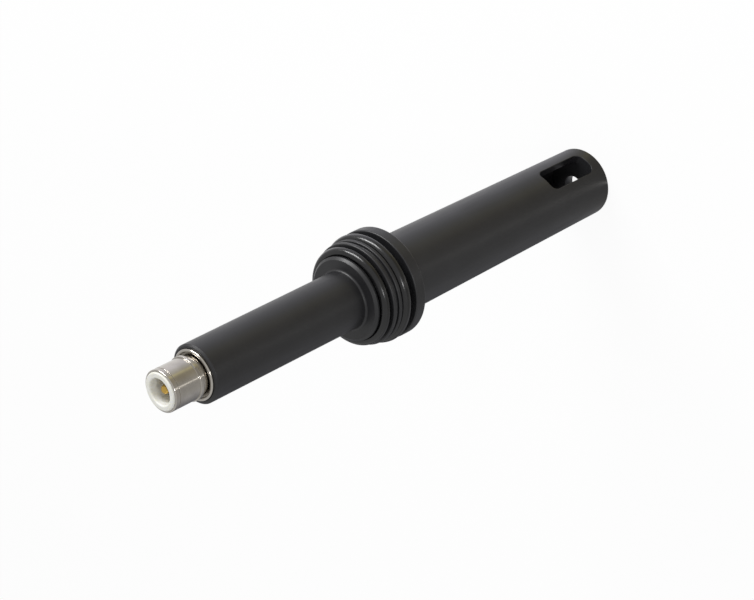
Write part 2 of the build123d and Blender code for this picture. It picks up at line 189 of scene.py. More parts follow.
class ProbeStageSettings(bpy.types.PropertyGroup):
    """The floor, the lamps and the camera."""
    floor_size: bpy.props.FloatProperty(
        name="Floor size", description="Side of the floor", default=4.0, unit="LENGTH")
    key_power: bpy.props.FloatProperty(
        name="Key lamp", description="Power of the long soft box", default=1.6, unit="POWER")
    side_power: bpy.props.FloatProperty(
        name="Side lamp", description="Power of the small lamp", default=0.25, unit="POWER")
    sky: bpy.props.FloatProperty(
        name="Sky", description="Strength of the plain white surroundings", default=0.6)


# Colours, nodes and materials

def linear(hex_value):
    """sRGB hex to the linear colour that shader sockets take."""
    channels = [int(hex_value[i:i + 2], 16) / 255 for i in (1, 3, 5)]
    return [c / 12.92 if c <= 0.04045 else ((c + 0.055) / 1.055) ** 2.4 for c in channels] + [1.0]


def add_node(tree, kind, settings=None, inputs=None):
    """Adds one node, with its settings by attribute and its inputs by name.

    An input given as (node, output) is linked, and any other value is set.
    """
    node = tree.nodes.new(kind)
    for name, value in (settings or {}).items():
        setattr(node, name, value)
    for name, value in (inputs or {}).items():
        socket = node.inputs[name]
        if isinstance(value, tuple) and len(value) == 2 and isinstance(value[0], bpy.types.Node):
            tree.links.new(value[0].outputs[value[1]], socket)
        else:
            socket.default_value = value
    return node


def new_object(name, data):
    """An object that shows the data, in the scene."""
    made = bpy.data.objects.new(name, data)
    bpy.context.scene.collection.objects.link(made)
    return made


class Finish:
    """A material with one surface shader, and the patterns that vary it."""

    def __init__(self, name, sockets):
        self.material = bpy.data.materials.new(name)
        self.material.use_nodes = True
        self.tree = self.material.node_tree
        self.tree.nodes.clear()
        self.shader = add_node(self.tree, "ShaderNodeBsdfPrincipled", inputs=sockets)
        add_node(self.tree, "ShaderNodeOutputMaterial", inputs={"Surface": (self.shader, "BSDF")})

    def grain(self, size_mm, detail=3.0, roughness=0.5, stretch=(1, 1, 1)):
        """Noise with grains about size_mm across, drawn out along an axis stretched below 1."""
        spot = add_node(self.tree, "ShaderNodeTexCoord")
        where = add_node(self.tree, "ShaderNodeMapping", inputs={
            "Vector": (spot, "Object"), "Scale": stretch})
        noise = add_node(self.tree, "ShaderNodeTexNoise", inputs={
            "Vector": (where, "Vector"), "Scale": 1 / (size_mm * MM),
            "Detail": detail, "Roughness": roughness})
        return noise, "Fac"

    def cells(self, size_mm):
        """Distance to the middle of the nearest cell, with cells about size_mm apart."""
        spot = add_node(self.tree, "ShaderNodeTexCoord")
        cells = add_node(self.tree, "ShaderNodeTexVoronoi", inputs={
            "Vector": (spot, "Object"), "Scale": 1 / (size_mm * MM)})
        return cells, "Distance"

    def dimples(self, cells, radius):
        """Round hollows in the middle of the cells, flat between them."""
        level = add_node(self.tree, "ShaderNodeMapRange", inputs={
            "Value": cells, "From Max": radius})
        return level, "Result"

    def vary(self, socket, pattern, values, span=(0.3, 0.7)):
        """Takes a socket from the first value to the second over a span of the pattern."""
        coloured = socket == "Base Color"
        low, high = (0.0, 1.0) if coloured else values
        level = add_node(self.tree, "ShaderNodeMapRange", inputs={
            "Value": pattern, "From Min": span[0], "From Max": span[1],
            "To Min": low, "To Max": high})
        result = level.outputs["Result"]
        if coloured:
            mix = add_node(self.tree, "ShaderNodeMix", {"data_type": "RGBA"}, {
                "Factor": (level, "Result"), MIX_FIRST: values[0], MIX_SECOND: values[1]})
            result = mix.outputs[MIX_RESULT]
        self.tree.links.new(result, self.shader.inputs[socket])

    def relief(self, pattern, depth_mm, strength):
        """Raises the surface by depth_mm where the pattern is at its highest."""
        raised = add_node(self.tree, "ShaderNodeBump", inputs={
            "Height": pattern, "Distance": depth_mm * MM, "Strength": strength})
        self.tree.links.new(raised.outputs["Normal"], self.shader.inputs["Normal"])


def tones(hex_value, factors):
    """A colour, and the same colour with its channels scaled."""
    base = linear(hex_value)
    return base, [min(1.0, c * f) for c, f in zip(base, factors)] + [1.0]


def moulded_plastic(name, hex_value):
    """Glass filled polyester, injection moulded in a finely eroded tool: an even satin skin
    with a grain of about 0.16 mm, slightly lighter where handling has polished it."""
    skin = Finish(name, {"IOR": 1.52})
    skin.vary("Base Color", skin.grain(9.0), tones(hex_value, (1.35,) * 3))
    flow_lines = skin.grain(1.4, roughness=0.6, stretch=(1, 1, 0.12))
    skin.vary("Roughness", flow_lines, (0.36, 0.46), (0.25, 0.75))
    skin.relief(skin.grain(0.16, 2.0, 0.6), 0.006, 0.5)
    return skin.material


def ring_rubber(name, hex_value):
    """Moulded EPDM with a wipe of silicone grease: near black, glossier than the plastic,
    with soft smears where the grease is thicker."""
    skin = Finish(name, {"IOR": 1.50, "Specular IOR Level": 0.6})
    smear = skin.grain(1.8, roughness=0.55)
    skin.vary("Roughness", smear, (0.16, 0.30))
    skin.vary("Base Color", smear, tones(hex_value, (1.6,) * 3))
    skin.relief(skin.grain(0.12, 2.0), 0.003, 0.4)
    return skin.material


def turned_metal(name, hex_value, gloss, line_mm, depth_mm):
    """Turned brass or steel: fine rings left by the lathe, softened by plating or grinding."""
    skin = Finish(name, {"Metallic": 1.0})
    stain = skin.grain(2.4, roughness=0.6)
    skin.vary("Base Color", stain, tones(hex_value, (0.82,) * 3), (0.35, 0.75))
    skin.vary("Roughness", stain, gloss)
    skin.relief(skin.grain(line_mm, 2.0, 0.6, (0.02, 0.02, 1)), depth_mm, 0.35)
    return skin.material


def white_insulator(name, hex_value):
    """Turned PTFE: milky white and waxy, and a little light passes into it."""
    skin = Finish(name, {
        "Roughness": 0.42, "IOR": 1.38, "Subsurface Weight": 0.25, "Subsurface Scale": 1.0,
        "Subsurface Radius": (0.6 * MM, 0.6 * MM, 0.5 * MM)})
    skin.vary("Base Color", skin.grain(1.6, 2.0), tones(hex_value, (0.95, 0.94, 0.88)))
    skin.relief(skin.grain(0.22, 2.0, stretch=(1, 1, 0.1)), 0.004, 0.4)
    return skin.material


def cast_resin(name, hex_value):
    """Cast epoxy: dark and glossy, with a few trapped bubbles showing as soft dimples."""
    skin = Finish(name, {"Roughness": 0.18, "IOR": 1.55})
    bubbles = skin.cells(1.3)
    skin.vary("Base Color", bubbles, tones(hex_value, (1.4,) * 3), (0.2, 0.7))
    skin.relief(skin.dimples(bubbles, 0.25), 0.03, 0.5)
    return skin.material


def wire_skin(name, hex_value, rough):
    """Extruded PVC or a shrunk polyolefin sleeve: smooth, with faint streaks along its run."""
    skin = Finish(name, {"Roughness": rough, "IOR": 1.53})
    streak = skin.grain(0.35, stretch=(1, 1, 0.06))
    skin.vary("Base Color", streak, tones(hex_value, (1.25,) * 3))
    skin.relief(streak, 0.01, 0.4)
    return skin.material


def finish(name):
    """The named finish, made once."""
    found = bpy.data.materials.get(name)
    if found:
        return found
    hexes = bpy.context.scene.probe_finish
    makers = {
        "moulded_black_pbt": (moulded_plastic, hexes.plastic),
        "greased_black_epdm": (ring_rubber, hexes.rubber),
        "nickel_plated_brass": (turned_metal, hexes.nickel, (0.12, 0.2), 0.09, 0.002),
        "gold_plated_brass": (turned_metal, hexes.gold, (0.18, 0.28), 0.08, 0.002),
        "tinned_brass": (turned_metal, hexes.tin, (0.3, 0.42), 0.2, 0.004),
        "ground_stainless_steel": (turned_metal, hexes.steel, (0.24, 0.34), 0.12, 0.004),
        "turned_white_ptfe": (white_insulator, hexes.insulator),
        "cast_dark_epoxy": (cast_resin, hexes.resin),
        "clear_pvc_lead": (wire_skin, hexes.signal_lead, 0.35),
        "black_pvc_lead": (wire_skin, hexes.return_lead, 0.35),
        "black_shrink_sleeve": (wire_skin, hexes.sleeve, 0.45),
    }
    maker, *values = makers[name]
    return maker(name, *values)


# Surfaces turned round the axis

class Surface:
    """Points with the directions that the true surface faces there, and faces between them.

    The facings are kept as the mesh's own normals, so flats stay flat and rounds stay
    round however coarse the faces are.
    """

    def __init__(self):
        self.points = []
        self.facings = []
        self.faces = []

    def point(self, place_mm, *facings):
        self.points.append(Vector(place_mm) * MM)
        self.facings.append([Vector(f).normalized() for f in facings])
        return len(self.points) - 1

    def band(self, low, high, skip=()):
        """Quads between two rows of points, apart from the columns in skip."""
        size = len(low)
        for i in range(size):
            if i in skip:
                continue
            j = (i + 1) % size
            corners = [low[i], low[j], high[j], high[i]]
            face = [c for n, c in enumerate(corners) if c != corners[n - 1]]
            if len(face) > 2:
                self.faces.append(face)

    def piece(self, name, material):
        mesh = bpy.data.meshes.new(name)
        mesh.from_pydata(self.points, [], self.faces)
        normals = []
        flipped = 0
        for face in mesh.polygons:
            near = [max(self.facings[v], key=face.normal.dot) for v in face.vertices]
            if sum(face.normal.dot(n) for n in near) < 0:
                flipped += 1
        if flipped > len(mesh.polygons) / 2:
            mesh.flip_normals()
        for face in mesh.polygons:
            for loop in face.loop_indices:
                vertex = mesh.loops[loop].vertex_index
                normals.append(max(self.facings[vertex], key=face.normal.dot))
        mesh.shade_smooth()
        mesh.normals_split_custom_set(normals)
        mesh.materials.append(material)
        piece = new_object(name, mesh)
        if flipped and flipped != len(mesh.polygons):
            raise RuntimeError(f"{name}: {flipped} of {len(mesh.polygons)} faces turned round")
        return piece


def outline(corners, closed=True, arc_step=9.0):
    """Samples of a turned outline: (radius, height, facing in, facing out).

    corners are (radius, height, rounding, number of extra samples to the next corner),
    going round the solid with the material on the left. The last two may be left out.
    """
    corners = [tuple(c) + (0.0, 0)[len(c) - 2:] for c in corners]
    size = len(corners)
    spans = range(size if closed else size - 1)
    facing = {}
    for i in spans:
        dr = corners[(i + 1) % size][0] - corners[i][0]
        dz = corners[(i + 1) % size][1] - corners[i][1]
        run = math.hypot(dr, dz)
        facing[i] = (dz / run, -dr / run)
    samples = []
    for i in range(size):
        r, z, rounding, extra = corners[i]
        before = facing.get((i - 1) % size if closed or i else None)
        after = facing.get(i)
        if before is None or after is None:
            samples.append((r, z, before or after, after or before))
        elif rounding <= 0:
            samples.append((r, z, before, after))
        else:
            turn = math.atan2(before[0] * after[1] - before[1] * after[0],
                              before[0] * after[0] + before[1] * after[1])
            side = 1 if turn > 0 else -1
            back = rounding * math.tan(abs(turn) / 2)
            start = (r + before[1] * back, z - before[0] * back)
            centre = (start[0] - side * rounding * before[0],
                      start[1] - side * rounding * before[1])
            steps = max(2, math.ceil(abs(math.degrees(turn)) / arc_step))
            for k in range(steps + 1):
                a = turn * k / steps
                n = (before[0] * math.cos(a) - before[1] * math.sin(a),
                     before[0] * math.sin(a) + before[1] * math.cos(a))
                samples.append((centre[0] + side * rounding * n[0],
                                centre[1] + side * rounding * n[1], n, n))
        if i in facing and extra:
            r0, z0 = samples[-1][:2]
            r1, z1 = corners[(i + 1) % size][:2]
            for k in range(1, extra + 1):
                t = k / (extra + 1)
                samples.append((r0 + (r1 - r0) * t, z0 + (z1 - z0) * t, after, after))
    return samples


def turn_outline(surface, samples, segments, notch=None):
    """Turns an outline round the Z axis and returns its rows of points."""
    angles = [2 * math.pi * k / segments for k in range(segments)]
    if notch:
        angles = notch.columns(angles)
    rows = []
    for r, z, facing_in, facing_out in samples:
        if r < 1e-9:
            pole = surface.point((0, 0, z), (facing_in[0], 0, facing_in[1]))
            rows.append([pole] * len(angles))
            continue
        row = []
        for a in angles:
            c, s = math.cos(a), math.sin(a)
            facings = [(n[0] * c, n[0] * s, n[1]) for n in (facing_in, facing_out)]
            reach = r
            if notch and notch.holds(r, z, a):
                reach = notch.floor / math.cos(a - notch.angle)
            if notch and notch.touches(z, a):
                facings += notch.facings()
            row.append(surface.point((reach * c, reach * s, z), *facings))
        rows.append(row)
    return rows


class KeyNotch:
    """A flat notch milled across a turned bead, between two heights."""

    SLIVER = 1e-4

    def __init__(self, angle, width, low, high, floor, bead):
        self.angle = math.radians(angle)
        self.half = math.asin(width / 2 / bead)
        self.low = low
        self.high = high
        self.floor = floor

    def across(self, a):
        """How far an angle is from the notch's middle."""
        return abs((a - self.angle + math.pi) % (2 * math.pi) - math.pi)

    def columns(self, angles):
        """The angles, with a pair at each side of the notch and some across it."""
        clear = [a for a in angles if self.across(a) > self.half * 1.1]
        inside = [self.angle + self.half * k / 6 for k in range(-5, 6)]
        sides = [self.angle + side * (self.half + nudge)
                 for side in (-1, 1) for nudge in (-self.SLIVER, self.SLIVER)]
        return sorted(a % (2 * math.pi) for a in clear + inside + sides)

    def holds(self, r, z, a):
        return self.low < z <= self.high and r > self.floor and self.across(a) < self.half

    def touches(self, z, a):
        near = self.low - 0.01 < z <= self.high + 0.01
        return near and self.across(a) < self.half + 10 * self.SLIVER

    def facings(self):
        """The directions of the notch's floor, its two sides and its lower ledge."""
        c, s = math.cos(self.angle), math.sin(self.angle)
        return [(c, s, 0), (-s, c, 0), (s, -c, 0), (0, 0, 1)]


def turned_piece(name, corners, segments, material, closed=True, notch=None, arc_step=9.0):
    """Turns the corners of an outline into a piece with a finish."""
    surface = Surface()
    rows = turn_outline(surface, outline(corners, closed, arc_step), segments, notch)
    for low, high in zip(rows, rows[1:] + rows[:1] if closed else rows[1:]):
        surface.band(low, high)
    return surface.piece(name, finish(material))


def settle(piece, slot, *nodes):
    """Rides the piece on the probe and lets it stand for CAD nodes."""
    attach(piece, "root")
    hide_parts(*nodes)


# The cell tube

def slot_outline(width, low, high, corner, across, along):
    """Points round the slot, as (x, z, facing x, facing z) with the facing into the slot.

    They go round like the patch of the wall that the slot is cut from: across points
    along the lower side, along points up, and so on, and each side takes half of its
    corners' arcs.
    """
    half = width / 2
    middle = (low + high) / 2
    tall = (high - low) / 2
    points = []
    for side in range(4):
        steps = across if side % 2 == 0 else along
        a, b = (half, tall) if side % 2 == 0 else (tall, half)
        straight = 2 * (a - corner)
        arc = corner * math.pi / 4
        whole = straight + 2 * arc
        for k in range(steps):
            s = whole * k / steps
            if s < arc:
                angle = math.pi / 4 - s / corner
                u = -(a - corner) - corner * math.sin(angle)
                v = -(b - corner) - corner * math.cos(angle)
                nu, nv = math.sin(angle), math.cos(angle)
            elif s <= arc + straight:
                u, v = -(a - corner) + (s - arc), -b
                nu, nv = 0.0, 1.0
            else:
                angle = (s - arc - straight) / corner
                u = (a - corner) + corner * math.sin(angle)
                v = -(b - corner) - corner * math.cos(angle)
                nu, nv = -math.sin(angle), math.cos(angle)
            for _ in range(side):
                u, v = -v, u
                nu, nv = -nv, nu
            points.append((u, middle + v, nu, nv))
    return points


class SlottedWall:
    """Cuts one slot through the wall between an outer and an inner turned surface."""

    OUTER_LOOPS = 6
    INNER_LOOPS = 4
    RIM_STEPS = 4

    def __init__(self, surface, segments, azimuth, columns, rim):
        self.surface = surface
        self.segments = segments
        self.azimuth = azimuth
        self.columns = columns
        self.rim = rim

    def frame(self):
        """The slot's own directions: across the slot, and out of the wall."""
        a = math.radians(self.azimuth)
        return Vector((-math.sin(a), math.cos(a), 0)), Vector((math.cos(a), math.sin(a), 0))

    def first_column(self):
        middle = round(self.azimuth / 360 * self.segments)
        return middle - self.columns // 2

    def border(self, rows):
        """The patch's edge in the turned rows, in the order of slot_outline."""
        first = self.first_column()
        last = first + self.columns
        at = lambda row, column: rows[row][column % self.segments]
        top = len(rows) - 1
        edge = [at(0, c) for c in range(first, last)]
        edge += [at(r, last) for r in range(top)]
        edge += [at(top, c) for c in range(last, first, -1)]
        edge += [at(r, first) for r in range(top, 0, -1)]
        return edge

    def skin(self, edge, rim_points, radius_at, facing_at, loops):
        """Rings of points from the patch's edge to the start of the rim's rounding."""
        across, out = self.frame()
        rings = [edge]
        starts = []
        for index in edge:
            p = self.surface.points[index] / MM
            starts.append((math.atan2(p.dot(across), p.dot(out)), p.z))
        for loop in range(1, loops + 1):
            t = loop / loops
            ring = []
            for (angle0, z0), (x, z) in zip(starts, rim_points):
                angle1 = math.asin(x / radius_at(z))
                angle = angle0 + (angle1 - angle0) * t
                height = z0 + (z - z0) * t
                r = radius_at(height)
                direction = across * math.sin(angle) + out * math.cos(angle)
                spot = direction * r
                facing = facing_at(direction)
                ring.append(self.surface.point((spot.x, spot.y, height), facing))
            rings.append(ring)
        return rings

    def cut(self, outer_rows, inner_rows, outer_radius, inner_radius, draft, cut_points, edge_in):
        """Builds the two patches, the rounded rims and the slot's own walls."""
        surface = self.surface
        across, out = self.frame()
        cone = lambda direction: direction + Vector((0, 0, -draft))
        inward = lambda direction: -direction
        sides = [
            (outer_rows, outer_radius, cone, self.rim, self.OUTER_LOOPS, 1),
            (inner_rows, inner_radius, inward, edge_in, self.INNER_LOOPS, -1),
        ]
        half_strips = []
        for rows, radius_at, facing_at, rim, loops, sign in sides:
            started = [(x - nx * rim, z - nz * rim) for x, z, nx, nz in cut_points]
            skin = self.skin(self.border(rows), started, radius_at, facing_at, loops)
            roll = []
            for step in range(1, self.RIM_STEPS + 1):
                t = step / self.RIM_STEPS
                ring = []
                for (x, z, nx, nz), start in zip(cut_points, skin[-1]):
                    p0 = surface.points[start] / MM
                    depth = math.sqrt(radius_at(z) ** 2 - x * x)
                    p1 = across * x + out * depth + Vector((0, 0, z))
                    p2 = p1 - out * (sign * rim)
                    spot = p0 * (1 - t) ** 2 + p1 * 2 * t * (1 - t) + p2 * t * t
                    wall = across * nx + Vector((0, 0, nz))
                    facing = surface.facings[start][0].lerp(wall, t)
                    ring.append(surface.point(spot, facing))
                roll.append(ring)
            half_strips.append(skin + roll)
        rings = half_strips[0] + half_strips[1][::-1]
        for first, second in zip(rings, rings[1:]):
            surface.band(first, second)


class PROBE_OT_cell_tube(bpy.types.Operator):
    """Makes the drafted tube with its flange, drain hole and two slots"""
    bl_idname = "probe.cell_tube"
    bl_label = "Cell Tube"

    def execute(self, context):
        t = context.scene.probe_tube
        segments = 192
        columns = 40
        rows_in_patch = 24
        patch_low = 1.2
        patch_high = t.chamber_top - 0.8
        slot_low = t.floor + 0.02
        slot_high = t.floor + t.slot_length
        inner_edge = 0.02
        draft = (t.root_radius - t.tip_radius) / t.height
        outer_radius = lambda z: t.tip_radius + draft * z
        inner_radius = lambda z: t.chamber_radius
        surface = Surface()
        lower = outline([
            (t.drain_radius + t.drain_chamfer, 0, 0.06),
            (t.tip_radius, 0, t.tip_edge),
            (outer_radius(patch_low), patch_low),
        ], closed=False)
        lower[0] = lower[0][:2] + (lower[0][2],) * 2
        step = (patch_high - patch_low) / rows_in_patch
        facing = (1.0, -draft)
        outer_patch = [
            (outer_radius(patch_low + step * k), patch_low + step * k, facing, facing)
            for k in range(rows_in_patch + 1)
        ]
        top = t.height + t.flange_thickness
        upper = outline([
            (outer_radius(patch_high), patch_high, 0, 10),
            (t.root_radius, t.height, t.flange_fillet, 2),
            (t.flange_radius, t.height, t.flange_lower_edge),
            (t.flange_radius, top, t.flange_upper_edge, 2),
            (t.bore_radius, top, 0.15, 6),
            (t.bore_radius, t.chamber_top),
            (t.chamber_radius, t.chamber_top, 0.05),
            (t.chamber_radius, patch_high),
        ], closed=False)
        inner_step = (patch_high - t.floor) / rows_in_patch
        inner_patch = [
            (t.chamber_radius, patch_high - inner_step * k, (-1.0, 0.0), (-1.0, 0.0))
            for k in range(rows_in_patch + 1)
        ]
        inner_patch[-1] = inner_patch[-1][:3] + ((0.0, 1.0),)
        drain = outline([
            (t.chamber_radius, t.floor),
            (t.drain_radius, t.floor, 0.1, 1),
            (t.drain_radius, t.drain_chamfer),
            (t.drain_radius + t.drain_chamfer, 0),
        ], closed=False)
        samples = lower[:-1] + outer_patch + upper[1:-1] + inner_patch + drain[1:-1]
        rows = turn_outline(surface, samples, segments)
        first_outer = len(lower) - 1
        first_inner = first_outer + len(outer_patch) + len(upper) - 2
        outer_rows = rows[first_outer:first_outer + rows_in_patch + 1]
        inner_rows = rows[first_inner:first_inner + rows_in_patch + 1][::-1]
        walls = [SlottedWall(surface, segments, azimuth, columns, t.slot_edge)
                 for azimuth in (270, 90)]
        patch_columns = {(wall.first_column() + c) % segments
                         for wall in walls for c in range(columns)}
        patch_rows = set(range(first_outer, first_outer + rows_in_patch))
        patch_rows |= set(range(first_inner, first_inner + rows_in_patch))
        for index in range(len(rows)):
            skip = patch_columns if index in patch_rows else ()
            surface.band(rows[index], rows[(index + 1) % len(rows)], skip=skip)
        cut_points = slot_outline(t.slot_width, slot_low, slot_high, t.slot_corner,
                                  columns, rows_in_patch)
        for wall in walls:
            wall.cut(outer_rows, inner_rows, outer_radius, inner_radius, draft, cut_points,
                     inner_edge)
        piece = surface.piece("cell_tube_moulding", finish("moulded_black_pbt"))
        settle(piece, "tube_plastic", "cell_tube")
        return {"FINISHED"}


# The stem

class PROBE_OT_stem(bpy.types.Operator):
    """Makes the stem with its collar, ring glands, grooved ridge and spigot"""
    bl_idname = "probe.stem"
    bl_label = "Stem"

    def execute(self, context):
        s = context.scene.probe_stem
        tube = context.scene.probe_tube
        low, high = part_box("stem")
        bottom, top = low.z / MM, high.z / MM
        flange_top = tube.height + tube.flange_thickness
        ridge_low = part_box("rear_o_ring")[1].z / MM + s.rear_space
        ridge_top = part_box("front_o_ring")[0].z / MM - s.front_space
        middle = (ridge_low + ridge_top) / 2
        collar_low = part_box("front_o_ring")[1].z / MM + s.front_space
        collar_high = collar_low + s.collar_thickness
        spigot = tube.bore_radius - s.spigot_gap
        groove_low = flange_top - s.spigot_ring_drop - s.spigot_ring_half
        groove_high = groove_low + 2 * s.spigot_ring_half
        groove_floor = tube.bore_radius - s.spigot_ring_depth
        half_groove = s.ridge_groove / 2
        r = s.ridge_round
        corners = [
            (s.bore, bottom, 0.1),
            (spigot - s.spigot_chamfer, bottom),
            (spigot, bottom + s.spigot_chamfer, 0.05),
            (spigot, groove_low, 0.05),
            (groove_floor, groove_low, 0.05),
            (groove_floor, groove_high, 0.05),
            (spigot, groove_high, 0.05),
            (spigot, flange_top),
            (s.gland_low, flange_top, 0.05),
            (s.gland_low, ridge_low, 0.25),
            (s.ridge_low, ridge_low, r),
            (s.ridge_low, middle - half_groove, r),
            (s.ridge_groove_floor, middle - half_groove, 0.12),
            (s.ridge_groove_floor, middle + half_groove, 0.12),
            (s.ridge_high, middle + half_groove, r),
            (s.ridge_high, ridge_top, r),
            (s.gland_high, ridge_top, 0.25),
            (s.gland_high, collar_low, 0.15),
            (s.collar_radius, collar_low, 0.15),
            (s.collar_radius, collar_high - s.collar_chamfer, 0.12),
            (s.collar_radius - s.collar_chamfer, collar_high, 0.12),
            (s.root_radius, collar_high, s.root_fillet, 16),
            (s.top_radius, top - s.top_edge, 0.12),
            (s.top_radius - s.top_edge, top, 0.08),
            (s.seat_radius, top, 0.06),
            (s.seat_radius, s.seat_floor),
            (s.throat_radius, s.seat_floor),
            (s.throat_radius, s.throat_floor),
            (s.bore, s.throat_floor),
        ]
        piece = turned_piece("stem_moulding", corners, 192, "moulded_black_pbt",
                             arc_step=11.25)
        settle(piece, "stem_plastic", "stem")
        return {"FINISHED"}


# Sealing rings, by geometry nodes

def ring_tree():
    """A tree that turns a round section with a thin moulding line into a ring.

    Its inputs are the ring's radius, section and height, and the moulding line's height.
    """
    tree = bpy.data.node_groups.new("sealing_ring", "GeometryNodeTree")
    tree.interface.new_socket("Geometry", in_out="OUTPUT", socket_type="NodeSocketGeometry")
    names = ("Ring Radius", "Section Radius", "Ring Height", "Line Height", "Line Width")
    for name in names:
        tree.interface.new_socket(name, in_out="INPUT", socket_type="NodeSocketFloat")
    tree.interface.new_socket("Rubber", in_out="INPUT", socket_type="NodeSocketMaterial")
    group = add_node(tree, "NodeGroupInput")
    path = add_node(tree, "GeometryNodeCurvePrimitiveCircle", inputs={
        "Resolution": 192, "Radius": (group, "Ring Radius")})
    section = add_node(tree, "GeometryNodeCurvePrimitiveCircle", inputs={
        "Resolution": 96, "Radius": (group, "Section Radius")})
    ring = add_node(tree, "GeometryNodeCurveToMesh", inputs={
        "Curve": (path, "Curve"), "Profile Curve": (section, "Curve")})
    spot = add_node(tree, "GeometryNodeInputPosition")
    parts = add_node(tree, "ShaderNodeSeparateXYZ", inputs={"Vector": (spot, "Position")})
    off_line = add_node(tree, "ShaderNodeMath", {"operation": "ABSOLUTE"}, {0: (parts, "Z")})
    share = add_node(tree, "ShaderNodeMath", {"operation": "DIVIDE"}, {
        0: (off_line, "Value"), 1: (group, "Line Width")})
    falling = add_node(tree, "ShaderNodeMapRange", {"interpolation_type": "SMOOTHSTEP"}, {
        "Value": (share, "Value"), "To Min": 1.0, "To Max": 0.0})
    lift = add_node(tree, "ShaderNodeMath", {"operation": "MULTIPLY"}, {
        0: (falling, "Result"), 1: (group, "Line Height")})
    normal = add_node(tree, "GeometryNodeInputNormal")
    offset = add_node(tree, "ShaderNodeVectorMath", {"operation": "SCALE"}, {
        0: (normal, "Normal"), "Scale": (lift, "Value")})
    raised = add_node(tree, "GeometryNodeSetPosition", inputs={
        "Geometry": (ring, "Mesh"), "Offset": (offset, "Vector")})
    where = add_node(tree, "ShaderNodeCombineXYZ", inputs={"Z": (group, "Ring Height")})
    moved = add_node(tree, "GeometryNodeTransform", inputs={
        "Geometry": (raised, "Geometry"), "Translation": (where, "Vector")})
    smooth = add_node(tree, "GeometryNodeSetShadeSmooth", inputs={"Geometry": (moved, "Geometry")})
    real = add_node(tree, "GeometryNodeRealizeInstances", inputs={"Geometry": (smooth, "Geometry")})
    coated = add_node(tree, "GeometryNodeSetMaterial", inputs={
        "Geometry": (real, "Geometry"), "Material": (group, "Rubber")})
    add_node(tree, "NodeGroupOutput", inputs={0: (coated, "Geometry")})
    return tree


def grown_piece(name, tree, values):
    """Runs a geometry tree with the values named, and keeps the result as a plain mesh."""
    holder = new_object(name + "_source", bpy.data.meshes.new(name + "_source"))
    modifier = holder.modifiers.new("grow", "NODES")
    modifier.node_group = tree
    for item in tree.interface.items_tree:
        if item.item_type == "SOCKET" and item.in_out == "INPUT" and item.name in values:
            modifier[item.identifier] = values[item.name]
    depsgraph = bpy.context.evaluated_depsgraph_get()
    mesh = bpy.data.meshes.new_from_object(holder.evaluated_get(depsgraph))
    mesh.name = name
    bpy.data.objects.remove(holder)
    return new_object(name, mesh)


class PROBE_OT_sealing_rings(bpy.types.Operator):
    """Makes every rubber ring, each in its own gland"""
    bl_idname = "probe.sealing_rings"
    bl_label = "Sealing Rings"

    def execute(self, context):
        tree = ring_tree()
        line = MOULD_LINE_HEIGHT * MM
        for node in ("rear_o_ring", "front_o_ring", "spigot_o_ring",
                     "holder_ring_lower", "holder_ring_upper"):
            low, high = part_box(node)
            section = (high.z - low.z) / 2
            piece = grown_piece(node + "_rubber", tree, {
                "Ring Radius": high.x - section,
                "Section Radius": section - line,
                "Ring Height": (low.z + high.z) / 2,
                "Line Height": line,
                "Line Width": MOULD_LINE_WIDTH * MM,
                "Rubber": finish("greased_black_epdm"),
            })
            settle(piece, "ring_rubber", node)
        return {"FINISHED"}


# The coaxial socket

